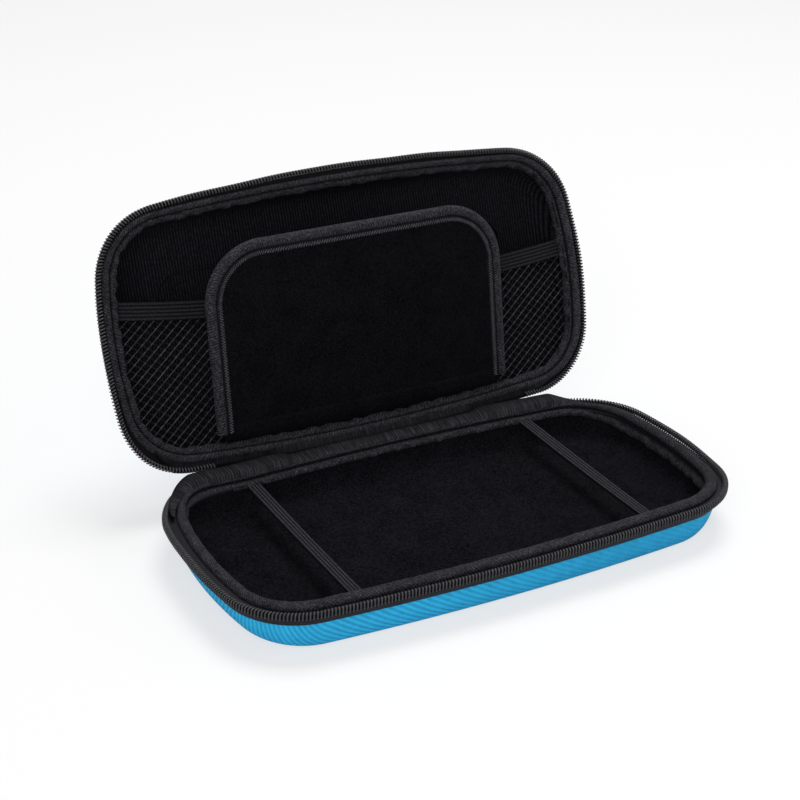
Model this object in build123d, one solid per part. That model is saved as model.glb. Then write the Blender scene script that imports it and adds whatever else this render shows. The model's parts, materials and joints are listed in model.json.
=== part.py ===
"""Zip-up carrying case for a handheld game console, standing open.

Millimetres, +Z up. The origin is the middle of the flat bottom, the front faces -Y and the
hinge runs along X at the back. Both halves share one rim outline and one rim section. The lid
half is drawn in the base's place, then mirrored in the zip plane and turned open.
"""
import os
from math import atan, cos, degrees, hypot, radians, sin, sqrt

from build123d import *

# Rim outline, measured over the zip
case_width = 246.0
case_depth = 126.0
long_side_radius = 1100.0
short_side_radius = 200.0
corner_radius = 34.5

# One half, from the flat bottom to the zip plane
half_height = 21.0
shell_overhang = 5.0
wall_thickness = 3.0
base_floor = 4.4
lid_floor = 2.0
lining_thickness = 0.8
end_rounding = 10.0
side_rounding = 4.5
wall_steps = 6

# Rim section
coil_edge = 0.2
coil_width = 2.8
coil_height = 2.95
coil_round = 1.0
zip_gap = 0.3
tape_edge = 1.0
tape_thickness = 0.8
piping_height = 3.3
piping_top_edge = 1.5
piping_bottom_edge = 3.5
binding_gap = 5.2
binding_width = 4.8
binding_round = 2.2
binding_crest_drop = 0.5
binding_leg = 3.4
binding_leg_round = 0.7
binding_shift = 3.0

# Hinge and its folded fabric
lid_opening = 110.6
hinge_drop = 2.9
spine_length = 104.0
bead_radius = 0.7
moving_clearance = 0.3

# Straps over the base
strap_spacing = 140.0
strap_width = 6.0
strap_thickness = 1.0
strap_drop = 4.0
strap_ribs = 4
strap_rib_height = 0.25

# Raised panel of the lid
panel_width = 178.0
panel_depth = 56.0
panel_height = 1.0
panel_radius = 12.0

# Net pocket in the lid
pocket_reach = 69.0
net_thickness = 0.7
net_pitch_x = 12.6
net_pitch_y = 11.0
net_thread = 2.6
net_margin = 5.0
band_height = 8.2
band_thickness = 1.3
band_radius = 836.0
band_low_x = 30.0
band_ribs = 4
band_rib_height = 0.2

# Padded flap in the lid
flap_width = 147.0
flap_length = 84.5
flap_offset = -3.5
flap_lean = 10.5
flap_recess = 2.5
flap_corner_radius = 28.0
flap_thickness = 3.4
flap_binding_width = 6.5
flap_binding_thickness = 4.8
flap_binding_root = 3.2
flap_bead_radius = 1.3

# Zip sliders and pulls
slider_park_gap = 3.0
slider_travel = 14.0
slider_length = 10.0
slider_wall = 1.0
slider_skirt = 4.6
slider_fit = 0.25
coil_end_gap = 1.0
pin_radius = 0.8
pin_head_radius = 1.5
pin_head_thickness = 0.6
pin_drop = 1.4
pull_width = 6.0
pull_length = 14.0
pull_thickness = 1.2
pull_swing = 60.0

# Heights and insets that follow from the sizes above
zip_plane = half_height
coil_top = zip_plane - zip_gap / 2
tape_top = coil_top - coil_height
rim_seat = tape_top - tape_thickness
piping_bottom = rim_seat - piping_height
coil_inner = coil_edge + coil_width
binding_outer = coil_inner + binding_gap
binding_inner = binding_outer + binding_width
binding_back = binding_inner - binding_shift
lining_outer = shell_overhang + wall_thickness
lining_inner = lining_outer + lining_thickness
leg_bottom = tape_top - binding_leg
hinge_y = case_depth / 2
hinge_z = zip_plane - hinge_drop
hinge_axis = Axis((0, hinge_y, hinge_z), (1, 0, 0))
socket_radius = bead_radius + moving_clearance
slider_rest = spine_length / 2 + slider_park_gap + slider_length / 2
slider_inner = coil_inner + slider_fit
slider_outer = coil_edge - slider_fit - moving_clearance
lid_coil_gap = 2 * (slider_rest + slider_travel + slider_length / 2 + coil_end_gap)
slider_roof = coil_top + slider_fit
pull_reach = (pull_length - pull_width) * sin(radians(pull_swing)) + pull_width / 2
bead_length = 2 * (slider_rest - pull_reach - moving_clearance)


def side_arc(centre_x, centre_y, radius, start, end):
    """Arc round a centre between two points on it."""
    middle_x = (start[0] + end[0]) / 2 - centre_x
    middle_y = (start[1] + end[1]) / 2 - centre_y
    scale = radius / hypot(middle_x, middle_y)
    middle = (centre_x + middle_x * scale, centre_y + middle_y * scale)
    return ThreePointArc(start, middle, end)


def outline(inset_x, inset_y, height):
    """Closed rim outline drawn in by two insets: four shallow side arcs and four corner arcs."""
    half_width = case_width / 2 - inset_x
    half_depth = case_depth / 2 - inset_y
    long_radius = long_side_radius - inset_y
    short_radius = short_side_radius - inset_x
    corner = corner_radius - (inset_x + inset_y) / 2
    long_y = half_depth - long_radius
    short_x = half_width - short_radius
    # the corner centre lies where both side arcs, each drawn in by the corner radius, cross
    apart = hypot(short_x, long_y)
    reach_long = long_radius - corner
    reach_short = short_radius - corner
    along = (reach_long**2 - reach_short**2 + apart**2) / (2 * apart)
    aside = sqrt(reach_long**2 - along**2)
    corner_x = (along * short_x - aside * long_y) / apart
    corner_y = long_y - (along * long_y + aside * short_x) / apart
    grow_long = long_radius / reach_long
    grow_short = short_radius / reach_short
    top = (corner_x * grow_long, long_y + (corner_y - long_y) * grow_long)
    side = (short_x + (corner_x - short_x) * grow_short, corner_y * grow_short)
    right = (half_width, 0)
    top_left = (-top[0], top[1])
    side_left = (-side[0], side[1])
    low_left = (-side[0], -side[1])
    under_left = (-top[0], -top[1])
    under = (top[0], -top[1])
    low = (side[0], -side[1])
    arcs = [
        side_arc(short_x, 0, short_radius, right, side),
        side_arc(corner_x, corner_y, corner, side, top),
        side_arc(0, long_y, long_radius, top, top_left),
        side_arc(-corner_x, corner_y, corner, top_left, side_left),
        side_arc(-short_x, 0, short_radius, side_left, low_left),
        side_arc(-corner_x, -corner_y, corner, low_left, under_left),
        side_arc(0, -long_y, long_radius, under_left, under),
        side_arc(corner_x, -corner_y, corner, under, low),
        side_arc(short_x, 0, short_radius, low, right),
    ]
    return Pos(0, 0, height) * Wire(arcs)


def plate(inset, bottom, top):
    """Flat slab inside the rim outline."""
    return extrude(Face(outline(inset, inset, bottom)), amount=top - bottom, dir=(0, 0, 1))


def inner_plate(inset, bottom, top):
    """Flat slab inside the binding's outline, which runs nearer to the edge along the hinge side."""
    shifted = Pos(0, binding_shift / 2, 0) * outline(inset, inset - binding_shift / 2, bottom)
    return extrude(Face(shifted), amount=top - bottom, dir=(0, 0, 1))


def rim_back(inset, x, shift=0):
    """How far back the rim outline, or the shifted binding's outline, reaches at x."""
    radius = long_side_radius - inset + shift / 2
    return case_depth / 2 - inset + shift - radius + sqrt(radius**2 - x**2)


def ring(section, shift=0):
    """Sweeps a section, given in the plane of the right side's middle, round the rim or a shifted outline."""
    return Pos(0, shift / 2, 0) * sweep(section, path=outline(0, -shift / 2, 0))


def section_face(points):
    """Section of the rim from pairs of inset and height."""
    placed = [(case_width / 2 - inset, 0, height) for inset, height in points]
    return Face(Wire(Polyline(*placed, close=True).edges()))


def rounded(face, corners, radius):
    """Rounds the section's corners that lie at the given pairs of inset and height."""
    wanted = [Vector(case_width / 2 - inset, 0, height) for inset, height in corners]
    found = [v for v in face.vertices() if min((Vector(v) - w).length for w in wanted) < 1e-6]
    return face.fillet_2d(radius, found)


def back_slot(length, front):
    """Block that clears the back of the rim over a length centred on the hinge."""
    size_y = case_depth
    tall = 4 * half_height
    return Pos(0, front + size_y / 2, zip_plane) * Box(length, size_y, tall)


def cup(inset, floor):
    """Solid that fills one half from the rim seat down to a floor: upright walls, then a rounded turn."""
    straight = plate(inset, piping_bottom, rim_seat)
    levels = []
    for step in range(wall_steps + 1):
        turn = radians(90 * step / wall_steps)
        inset_x = inset + end_rounding * (1 - cos(turn))
        inset_y = inset + side_rounding * (1 - cos(turn))
        height = piping_bottom - (piping_bottom - floor) * sin(turn)
        levels.append(Face(outline(inset_x, inset_y, height)))
    return straight + loft(levels)


def rounded_panel(width, depth, radius, bottom, top):
    """Upright slab with a rounded rectangular outline."""
    return extrude(Pos(0, 0, bottom) * RectangleRounded(width, depth, radius), amount=top - bottom)


# Rim pieces, drawn once for both halves
coil_corners = [(coil_edge, coil_top), (coil_inner, coil_top), (coil_inner, tape_top), (coil_edge, tape_top)]
coil_ring = ring(rounded(section_face(coil_corners), coil_corners[:2], coil_round))
tape_ring = ring(
    section_face([(tape_edge, tape_top), (lining_inner, tape_top), (lining_inner, rim_seat), (tape_edge, rim_seat)])
)
piping_corners = [
    (shell_overhang, rim_seat),
    (piping_top_edge, rim_seat),
    (piping_bottom_edge, piping_bottom),
    (shell_overhang, piping_bottom),
]
piping_ring = ring(section_face(piping_corners))
crest = zip_plane - binding_crest_drop
crest_outer = (binding_outer, crest)
crest_inner = (binding_inner, crest)
leg_inner = (binding_inner, leg_bottom)
binding_section = section_face(
    [
        crest_outer,
        crest_inner,
        leg_inner,
        (binding_outer, leg_bottom),
    ]
)
binding_section = rounded(binding_section, [crest_outer, crest_inner], binding_round)
binding_section = rounded(binding_section, [leg_inner], binding_leg_round)
binding_ring = ring(binding_section, binding_shift)
wall_top = plate(0, leg_bottom, tape_top) - plate(lining_inner, leg_bottom, tape_top)
binding_ring -= wall_top

# Shells and linings: one outside shape, with a thicker floor in the base than in the lid
shell_outside = cup(shell_overhang, 0)
base_inside = cup(lining_outer, base_floor)
base_hollow = cup(lining_inner, base_floor + lining_thickness)
lid_inside = cup(lining_outer, lid_floor)
lid_hollow = cup(lining_inner, lid_floor + lining_thickness)

# Folded fabric of the hinge: a block that fills the coil's place along the middle of the back
spine_band = plate(0, tape_top, coil_top) + Pos(0, hinge_y / 2, (tape_top + coil_top) / 2) * Box(
    case_width, hinge_y - zip_gap, coil_top - tape_top
)
spine_block = spine_band - inner_plate(binding_outer, tape_top, coil_top)
spine_block = spine_block & back_slot(spine_length, hinge_y / 2)
bead = Pos(0, hinge_y, hinge_z) * Rot(0, 90, 0) * Cylinder(bead_radius, bead_length)
recess_floor = hinge_z + moving_clearance
leaf_recess = Pos(0, hinge_y - socket_radius + half_height / 2, recess_floor + half_height / 2) * Box(
    case_width, half_height, half_height
)

# The lid's leaf of the hinge reaches past the zip plane to a socket over the base's bead
leaf_end = zip_plane + hinge_drop
leaf = Pos(0, hinge_y, (tape_top + leaf_end) / 2) * Box(bead_length, 2 * bead_radius, leaf_end - tape_top)
socket = Pos(0, hinge_y, leaf_end) * Rot(0, 90, 0) * Cylinder(socket_radius, case_width)

base_parts = {
    "base_shell": shell_outside - base_inside,
    "base_lining": base_inside - base_hollow,
    "base_piping": piping_ring,
    "base_zip_tape": tape_ring,
    "base_zip_coil": coil_ring - back_slot(spine_length, hinge_y / 2),
    "base_binding": binding_ring,
    "base_spine": spine_block - leaf_recess + bead,
}

# Straps: ribbed bands from binding to binding
strap_top = zip_plane - strap_drop
inside_rim = inner_plate(binding_inner, 0, zip_plane)
for name, place in (("strap_left", -strap_spacing / 2), ("strap_right", strap_spacing / 2)):
    band = Pos(place, 0, strap_top - strap_thickness / 2) * Box(strap_width, case_depth, strap_thickness)
    for rib in range(strap_ribs):
        across = strap_width * ((rib + 0.5) / strap_ribs - 0.5)
        rib_width = strap_width / strap_ribs * 0.6
        rib_place = Pos(place + across, 0, strap_top + strap_rib_height / 2)
        band += rib_place * Box(rib_width, case_depth, strap_rib_height)
    base_parts[name] = band & inside_rim

# Lid shell and lining with the raised panel
panel_inner = rounded_panel(
    panel_width - 2 * lining_thickness,
    panel_depth - 2 * lining_thickness,
    panel_radius - lining_thickness,
    lid_floor + lining_thickness - panel_height,
    lid_floor + lining_thickness,
)
panel_lining = rounded_panel(panel_width, panel_depth, panel_radius, lid_floor - panel_height, lid_floor)
panel_outer = rounded_panel(
    panel_width + 2 * lid_floor,
    panel_depth + 2 * lid_floor,
    panel_radius + lid_floor,
    -panel_height,
    0,
)
lid_shell = shell_outside - lid_inside + panel_outer - panel_lining
lid_lining = lid_inside - lid_hollow + panel_lining - panel_inner

# Net pocket: a sheet under the binding's leg with diamond gaps, and its band
net_top = leg_bottom
net_bottom = net_top - net_thickness
band_centre = hinge_y - pocket_reach - band_radius
net_edge_radius = band_radius + band_height


def sag_disc(radius, bottom, top):
    """Round slab whose edge gives a sagging line of the pocket band."""
    return Pos(band_low_x, band_centre, (bottom + top) / 2) * Cylinder(radius, top - bottom)


net_area = plate(lining_inner, net_bottom, net_top) - sag_disc(net_edge_radius, net_bottom, net_top)
gap_x = (net_pitch_x - net_thread) / 2
gap_y = (net_pitch_y - net_thread) / 2
gap_face = make_face(Polyline((-gap_x, 0), (0, -gap_y), (gap_x, 0), (0, gap_y), close=True))
half_across = case_width / 2 - binding_inner - net_margin - gap_x
net_rows = int((pocket_reach - band_height - binding_back - net_margin) / (net_pitch_y / 2))
gaps = []
for row in range(net_rows):
    gap_place_y = hinge_y - binding_back - net_margin - gap_y - row * net_pitch_y / 2
    shift = net_pitch_x / 2 * (row % 2)
    columns = int(half_across / net_pitch_x)
    for column in range(-columns - 1, columns + 1):
        gap_place_x = column * net_pitch_x + shift
        rim_limit = rim_back(binding_inner + net_margin, gap_place_x, binding_shift) - gap_y
        band_away = gap_place_x - band_low_x
        sag_limit = band_centre + sqrt(net_edge_radius**2 - band_away**2) + net_margin + gap_y
        corner_room = hypot(
            max(0, abs(gap_place_x) - (case_width / 2 - corner_radius)),
            max(0, gap_place_y - (case_depth / 2 - corner_radius)),
        )
        in_corner = corner_room > corner_radius - binding_inner - net_margin - gap_x
        if abs(gap_place_x) > half_across or gap_place_y > rim_limit or gap_place_y < sag_limit or in_corner:
            continue
        gaps.append(Pos(gap_place_x, gap_place_y, net_bottom - 1) * extrude(gap_face, amount=net_thickness + 2))
mesh_pocket = net_area - gaps

band_top = net_top + band_thickness - net_thickness
band_area = sag_disc(net_edge_radius, net_bottom, band_top) - sag_disc(band_radius, net_bottom, band_top)
for rib in range(band_ribs):
    rib_inner = band_radius + band_height * (rib + 0.2) / band_ribs
    rib_outer = band_radius + band_height * (rib + 0.8) / band_ribs
    rib_top = band_top + band_rib_height
    band_area += sag_disc(rib_outer, band_top, rib_top) - sag_disc(rib_inner, band_top, rib_top)
band_under_leg = band_area & plate(lining_inner, net_bottom, net_top)
band_inside_rim = band_area & inner_plate(binding_inner, net_top, zip_plane)
pocket_band = band_under_leg + band_inside_rim

lid_parts = {
    "lid_shell": lid_shell,
    "lid_lining": lid_lining,
    "lid_piping": piping_ring,
    "lid_zip_tape": tape_ring,
    "lid_zip_coil": coil_ring - back_slot(lid_coil_gap, hinge_y / 2),
    "lid_binding": binding_ring,
    "lid_spine": spine_block + leaf - socket,
    "mesh_pocket": mesh_pocket,
    "pocket_band": pocket_band,
}

# Padded flap, drawn flat and then leaned out of the lid about its sewn edge
flap_far = abs(flap_offset) + flap_width / 2
pivot_y = rim_back(binding_inner, flap_far, binding_shift) - moving_clearance - flap_bead_radius
pivot_z = zip_plane - flap_recess
flap_axis = Axis((0, pivot_y, pivot_z), (1, 0, 0))


def flap_slab(margin, thickness, root):
    """Flat slab of the flap's outline drawn in by a margin, from a root line to its free edge."""
    half = flap_width / 2 - margin
    length = flap_length - margin
    radius = flap_corner_radius - margin
    face = make_face(
        Polyline((-half, -root), (half, -root), (half, -length), (-half, -length), close=True)
    )
    ends = face.vertices().sort_by(Axis.Y)[:2]
    face = fillet(ends, radius)
    return Pos(flap_offset, pivot_y, pivot_z - thickness / 2) * extrude(face, amount=thickness)


flap_bead = Pos(flap_offset, pivot_y, pivot_z) * Rot(0, 90, 0) * Cylinder(flap_bead_radius, flap_width)
flap_core = flap_slab(flap_binding_width, flap_thickness, 0)
flap_panel = flap_core + flap_bead
flap_rim = flap_slab(0, flap_binding_thickness, flap_binding_root)
rim_edges = flap_rim.edges().filter_by(Plane.XY).group_by(Axis.Z)
outer_edges = [
    edge
    for group in (rim_edges[0], rim_edges[-1])
    for edge in group
    if edge.center().Y < pivot_y - flap_binding_thickness
]
flap_rim = fillet(outer_edges, flap_binding_thickness * 0.42)
flap_window = flap_slab(flap_binding_width, 4 * flap_binding_thickness, -flap_binding_thickness)
flap_binding = flap_rim - flap_window - flap_bead
flap_parts = {"flap_panel": flap_panel, "flap_binding": flap_binding}

# Zip sliders: a channel over the base coil with a pin for the pull, drawn for a straight rim along X
slider_depth = slider_inner - slider_outer
slider_body = Pos(0, -(slider_inner + slider_outer) / 2, slider_roof + slider_wall / 2) * Box(
    slider_length, slider_depth + 2 * slider_wall, slider_wall
)
outer_plate_height = slider_skirt
slider_body += Pos(0, -slider_outer + slider_wall / 2, slider_roof - outer_plate_height / 2) * Box(
    slider_length, slider_wall, outer_plate_height
)
inner_plate_height = slider_roof - tape_top - slider_fit
slider_body += Pos(0, -slider_inner - slider_wall / 2, slider_roof - inner_plate_height / 2) * Box(
    slider_length, slider_wall, inner_plate_height
)
plate_face = -slider_outer + slider_wall
pin_length = pull_thickness + 2 * moving_clearance
pin_z = zip_plane - pin_drop
upright = Rot(-90, 0, 0)
slider_pin = Pos(0, plate_face + pin_length / 2, pin_z) * upright * Cylinder(pin_radius, pin_length)
head_y = plate_face + pin_length + pin_head_thickness / 2
slider_head = Pos(0, head_y, pin_z) * upright * Cylinder(pin_head_radius, pin_head_thickness)
slider_body = slider_body + slider_pin + slider_head
pull_outline = Pos(0, -pull_length / 2 + pull_width / 2) * SlotOverall(pull_length, pull_width, rotation=90)
pull_eye = Circle(pin_radius + moving_clearance)
pull_flat = extrude(pull_outline - pull_eye, amount=pull_thickness)
pull_y = plate_face + moving_clearance + pull_thickness
pull_body = Pos(0, pull_y, pin_z) * Rot(90, 0, 0) * pull_flat

slider_parts = {}
for side, sign in (("left", -1), ("right", 1)):
    slope = degrees(atan(-sign * slider_rest / sqrt(long_side_radius**2 - slider_rest**2)))
    place = Pos(sign * slider_rest, rim_back(0, slider_rest), 0) * Rot(0, 0, slope)
    slider_parts["slider_" + side] = place * slider_body
    slider_parts["pull_" + side] = place * pull_body


def to_lid(shape):
    """Moves a shape from the base's place to the open lid."""
    closed = mirror(shape, about=Plane.XY.offset(zip_plane))
    return closed.rotate(hinge_axis, -lid_opening)


parts = dict(base_parts)
for name, shape in lid_parts.items():
    parts[name] = to_lid(shape)
for name, shape in flap_parts.items():
    parts[name] = to_lid(shape.rotate(flap_axis, -flap_lean))
parts.update(slider_parts)

os.makedirs("parts", exist_ok=True)
for name, shape in parts.items():
    export_step(shape, f"parts/{name}.step")
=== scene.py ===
"""Looks of the open console case: cloth, zip teeth, netting, stitching, materials and the studio.

Shapes are worked out in millimetres, each half in the base's place. Points of the lid are then
mirrored in the zip plane and turned open about the hinge, as the part itself is.
"""
import json
from math import atan2, cos, hypot, pi, radians, sin, sqrt

import bmesh
import bpy
import numpy as np
from mathutils import Matrix, Vector


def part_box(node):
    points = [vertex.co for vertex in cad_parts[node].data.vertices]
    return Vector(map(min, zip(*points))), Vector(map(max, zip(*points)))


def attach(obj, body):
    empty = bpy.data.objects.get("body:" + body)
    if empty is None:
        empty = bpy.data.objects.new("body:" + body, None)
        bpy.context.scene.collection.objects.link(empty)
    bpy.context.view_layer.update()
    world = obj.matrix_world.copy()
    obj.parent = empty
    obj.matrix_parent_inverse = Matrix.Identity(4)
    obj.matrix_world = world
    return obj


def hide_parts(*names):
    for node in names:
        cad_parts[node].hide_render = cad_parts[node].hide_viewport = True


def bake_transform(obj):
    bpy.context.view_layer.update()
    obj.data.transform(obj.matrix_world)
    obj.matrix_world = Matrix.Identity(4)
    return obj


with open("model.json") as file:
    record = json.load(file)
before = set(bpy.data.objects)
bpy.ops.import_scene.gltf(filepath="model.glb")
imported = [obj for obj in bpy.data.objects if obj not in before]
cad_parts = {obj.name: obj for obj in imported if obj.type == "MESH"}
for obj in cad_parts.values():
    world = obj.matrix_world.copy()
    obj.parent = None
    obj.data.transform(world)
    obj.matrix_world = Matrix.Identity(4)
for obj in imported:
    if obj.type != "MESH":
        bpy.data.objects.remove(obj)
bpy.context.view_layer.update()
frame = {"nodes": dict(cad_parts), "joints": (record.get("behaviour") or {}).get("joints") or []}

MM = 0.001

# Rim outline, as the part has it
long_side_radius = 1100.0
short_side_radius = 200.0
corner_radius = 34.5
coil_edge = 0.2
zip_gap = 0.3
coil_gap_base = 52.5
coil_gap_lid = 80.5

# Zip teeth and the core inside them
tooth_pitch = 1.5
tooth_radius = 0.37
tooth_sides = 6
tooth_points = 13
tooth_slant = 0.66
core_inset = 1.6
core_level = -2.15
core_half_width = 0.62
core_half_height = 1.05
core_sides = 12
core_steps = 420

# Slack of the soft edge with the zip
ripple_height = 0.2
lid_top_bulge = 1.4
lid_top_reach = 95.0
lid_corner_bulge = 2.0
lid_corner = (-108.0, 46.0, 18.0)
base_end_bulge = 1.2
base_corner_bulge = 2.6
base_corner = (-97.0, 57.0, 17.0)

# Binding
rim_steps = 720
twill_pitch = 1.0
binding_cloth = 0.4
hem_wave = 0.5

# Flap
flap_half_width = 74.3
flap_offset = -2.7
flap_length = 88.0
flap_corner_radius = 28.0
pad_margin = 3.2
flap_root = 3.0
flap_around = 420
zigzag_pitch = 1.25
zigzag_inset = 6.1
zigzag_reach = 0.75
zigzag_level = 2.12

# Net and its band
pocket_reach = 71.0
band_radius = 836.0
band_low_x = 30.0
band_height = 8.2
band_ribs = 5
net_cell_x = 4.9
net_cell_y = 3.9
net_depth = 6.85
net_edge = 8.9
# Share of light painted on the back row of net yarns, as painted shade.
back_yarn_painted_shade = 0.06
band_depth = 6.35
band_half_length = 113.8
band_stitch_pitch = 3.4
band_stitch_length = 2.1

# Straps
strap_x = 70.0
strap_width = 6.0
strap_ribs = 4
strap_rib_height = 0.45
strap_thickness = 0.8
strap_level = 4.0
strap_front = -50.6
strap_back = 53.0

# Places that the frame gives
joints = {joint["name"]: joint for joint in frame["joints"]}
hinge_y = joints["lid_hinge"]["pos_m"][1] / MM
hinge_z = joints["lid_hinge"]["pos_m"][2] / MM
zip_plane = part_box("base_zip_coil")[1][2] / MM + zip_gap / 2
hinge_drop = zip_plane - hinge_z
lid_opening = radians(-joints["lid_hinge"]["range_deg"][0])
flap_lean = radians(-joints["flap_hinge"]["range_deg"][0])
half_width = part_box("base_zip_coil")[1][0] / MM + coil_edge
half_depth = hinge_y


def on_lid(points):
    """Moves points from the base's place to the open lid."""
    points = np.asarray(points, float)
    away = hinge_y - points[..., 1]
    deep = zip_plane - points[..., 2] + hinge_drop
    y = hinge_y - away * cos(lid_opening) + deep * sin(lid_opening)
    z = hinge_z + away * sin(lid_opening) + deep * cos(lid_opening)
    return np.stack([points[..., 0], y, z], axis=-1)


def on_base(points):
    """Leaves points in the base's place."""
    return np.asarray(points, float)


def flap_pivot():
    """Distance of the flap's hinge from the lid's hinge, and its depth behind the rim plane."""
    back = joints["flap_hinge"]["pos_m"][1] / MM - hinge_y
    up = joints["flap_hinge"]["pos_m"][2] / MM - hinge_z
    away = -back * cos(lid_opening) + up * sin(lid_opening)
    deep = back * sin(lid_opening) + up * cos(lid_opening) - hinge_drop
    return away, deep


pivot_away, pivot_deep = flap_pivot()


def on_flap(points):
    """Moves points given as x, distance from the flap's hinge and height to the flap's place."""
    points = np.asarray(points, float)
    reach = points[..., 1]
    height = points[..., 2]
    y = hinge_y - pivot_away - reach * cos(flap_lean) + height * sin(flap_lean)
    z = zip_plane - pivot_deep + reach * sin(flap_lean) + height * cos(flap_lean)
    return on_lid(np.stack([points[..., 0], y, z], axis=-1))


def rim_arcs():
    """Centre, radius and end angles of the rim's arcs, from the right end round by the back."""
    long_y = half_depth - long_side_radius
    short_x = half_width - short_side_radius
    apart = hypot(short_x, long_y)
    reach_long = long_side_radius - corner_radius
    reach_short = short_side_radius - corner_radius
    along = (reach_long**2 - reach_short**2 + apart**2) / (2 * apart)
    aside = sqrt(reach_long**2 - along**2)
    corner_x = (along * short_x - aside * long_y) / apart
    corner_y = long_y - (along * long_y + aside * short_x) / apart
    side = atan2(corner_y, corner_x - short_x)
    back = atan2(corner_y - long_y, corner_x)
    return [
        (short_x, 0, short_side_radius, 0, side),
        (corner_x, corner_y, corner_radius, side, back),
        (0, long_y, long_side_radius, back, pi - back),
        (-corner_x, corner_y, corner_radius, pi - back, pi - side),
        (-short_x, 0, short_side_radius, pi - side, pi + side),
        (-corner_x, -corner_y, corner_radius, pi + side, pi + back),
        (0, -long_y, long_side_radius, pi + back, 2 * pi - back),
        (corner_x, -corner_y, corner_radius, 2 * pi - back, 2 * pi - side),
        (short_x, 0, short_side_radius, 2 * pi - side, 2 * pi),
    ]


def rim_length():
    """Length of the rim outline."""
    return sum(radius * (end - start) for _, _, radius, start, end in rim_arcs())


def rim_frames(count):
    """Place, outward normal and distance of evenly spaced points round the rim."""
    arcs = rim_arcs()
    whole = rim_length()
    rows = []
    for step in range(count):
        distance = whole * step / count
        rest = distance
        for centre_x, centre_y, radius, start, end in arcs:
            length = radius * (end - start)
            if rest <= length:
                break
            rest -= length
        angle = start + rest / radius
        place = (centre_x + radius * cos(angle), centre_y + radius * sin(angle))
        rows.append((*place, cos(angle), sin(angle), distance))
    return np.array(rows)


def smooth_path(points, count):
    """Evenly stepped points on a smooth curve through the given ones."""
    points = np.asarray(points, float)
    padded = np.vstack([2 * points[0] - points[1], points, 2 * points[-1] - points[-2]])
    out = []
    for value in np.linspace(0, len(points) - 1 - 1e-9, count):
        k = int(value)
        t = value - k
        a, b, c, d = padded[k : k + 4]
        square = 2 * a - 5 * b + 4 * c - d
        cube = 3 * b - a - 3 * c + d
        out.append(0.5 * (2 * b + (c - a) * t + square * t**2 + cube * t**3))
    return np.array(out)


def waves(turn, cycles, phase):
    """Uneven wave round a loop, between about -1 and 1."""
    total = 0
    for number, cycle in enumerate(cycles):
        total = total + np.sin(cycle * turn + phase * (number + 1) * 1.7) / len(cycles)
    return total * 1.4


def steps_along(points):
    """Distances along a row of points."""
    gaps = np.linalg.norm(np.diff(points, axis=0), axis=1)
    return np.concatenate([[0], np.cumsum(gaps)])


def patch(points, along=None, across=None, loop_along=False, loop_across=False):
    """One grid of points for build, with its distances along and across."""
    points = np.asarray(points, float)
    if along is None:
        row = points[:, 0]
        row = np.vstack([row, row[:1]]) if loop_along else row
        along = steps_along(row)
    if across is None:
        row = points[0]
        row = np.vstack([row, row[:1]]) if loop_across else row
        across = steps_along(row)
    return points, np.asarray(along, float), np.asarray(across, float), loop_along, loop_across


def build(name, patches, weld=False):
    """Mesh of several grids, in metres, with a cloth map of distances along and across."""
    verts = []
    quads = []
    maps = []
    first = 0
    for points, along, across, loop_along, loop_across in patches:
        rows, columns = points.shape[:2]
        i = np.arange(rows if loop_along else rows - 1)[:, None]
        j = np.arange(columns if loop_across else columns - 1)[None, :]
        i2 = (i + 1) % rows
        j2 = (j + 1) % columns
        corners = [i * columns + j, i2 * columns + j, i2 * columns + j2, i * columns + j2]
        quads.append(np.stack(corners, axis=-1).reshape(-1, 4) + first)
        spots = [(i, j), (i + 1, j), (i + 1, j + 1), (i, j + 1)]
        uv = [np.stack(np.broadcast_arrays(along[a], across[b]), axis=-1) for a, b in spots]
        maps.append(np.stack(uv, axis=2).reshape(-1, 2))
        verts.append(points.reshape(-1, 3))
        first += rows * columns
    mesh = bpy.data.meshes.new(name)
    mesh.from_pydata((np.vstack(verts) * MM).tolist(), [], np.vstack(quads).tolist())
    layer = mesh.uv_layers.new(name="cloth")
    layer.data.foreach_set("uv", (np.vstack(maps) * MM).astype(np.float32).ravel())
    work = bmesh.new()
    work.from_mesh(mesh)
    if weld:
        bmesh.ops.remove_doubles(work, verts=work.verts, dist=1e-6)
    bmesh.ops.recalc_face_normals(work, faces=work.faces)
    work.to_mesh(mesh)
    work.free()
    mesh.polygons.foreach_set("use_smooth", [True] * len(mesh.polygons))
    return mesh


def piece(mesh, body, material, stands_for=()):
    """Object of a mesh that rides on a body and the nodes it stands for."""
    obj = bpy.data.objects.new(mesh.name, mesh)
    bpy.context.scene.collection.objects.link(obj)
    mesh.materials.append(material)
    if body:
        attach(obj, body)
    if stands_for:
        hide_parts(*stands_for)
    return obj


def thicken(obj, thickness, offset=-1):
    """Gives a cloth surface its thickness, in millimetres."""
    solid = obj.modifiers.new("thickness", "SOLIDIFY")
    solid.thickness = thickness * MM
    solid.offset = offset


def tube(path, up, radius, sides=6, flat=1.0):
    """Grid of a tube along a path, with up as its height's direction and flat as height over width."""
    path = np.asarray(path, float)
    tangent = np.gradient(path, axis=0)
    tangent /= np.linalg.norm(tangent, axis=1)[:, None]
    up = np.broadcast_to(np.asarray(up, float), path.shape)
    side = np.cross(tangent, up)
    side /= np.linalg.norm(side, axis=1)[:, None]
    lift = np.cross(side, tangent)
    turn = 2 * pi * np.arange(sides) / sides
    radius = np.broadcast_to(np.asarray(radius, float), (len(path),))[:, None, None]
    ring = np.cos(turn)[None, :, None] * side[:, None]
    ring = ring + flat * np.sin(turn)[None, :, None] * lift[:, None]
    return patch(path[:, None] + radius * ring, loop_across=True)


# Materials


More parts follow.
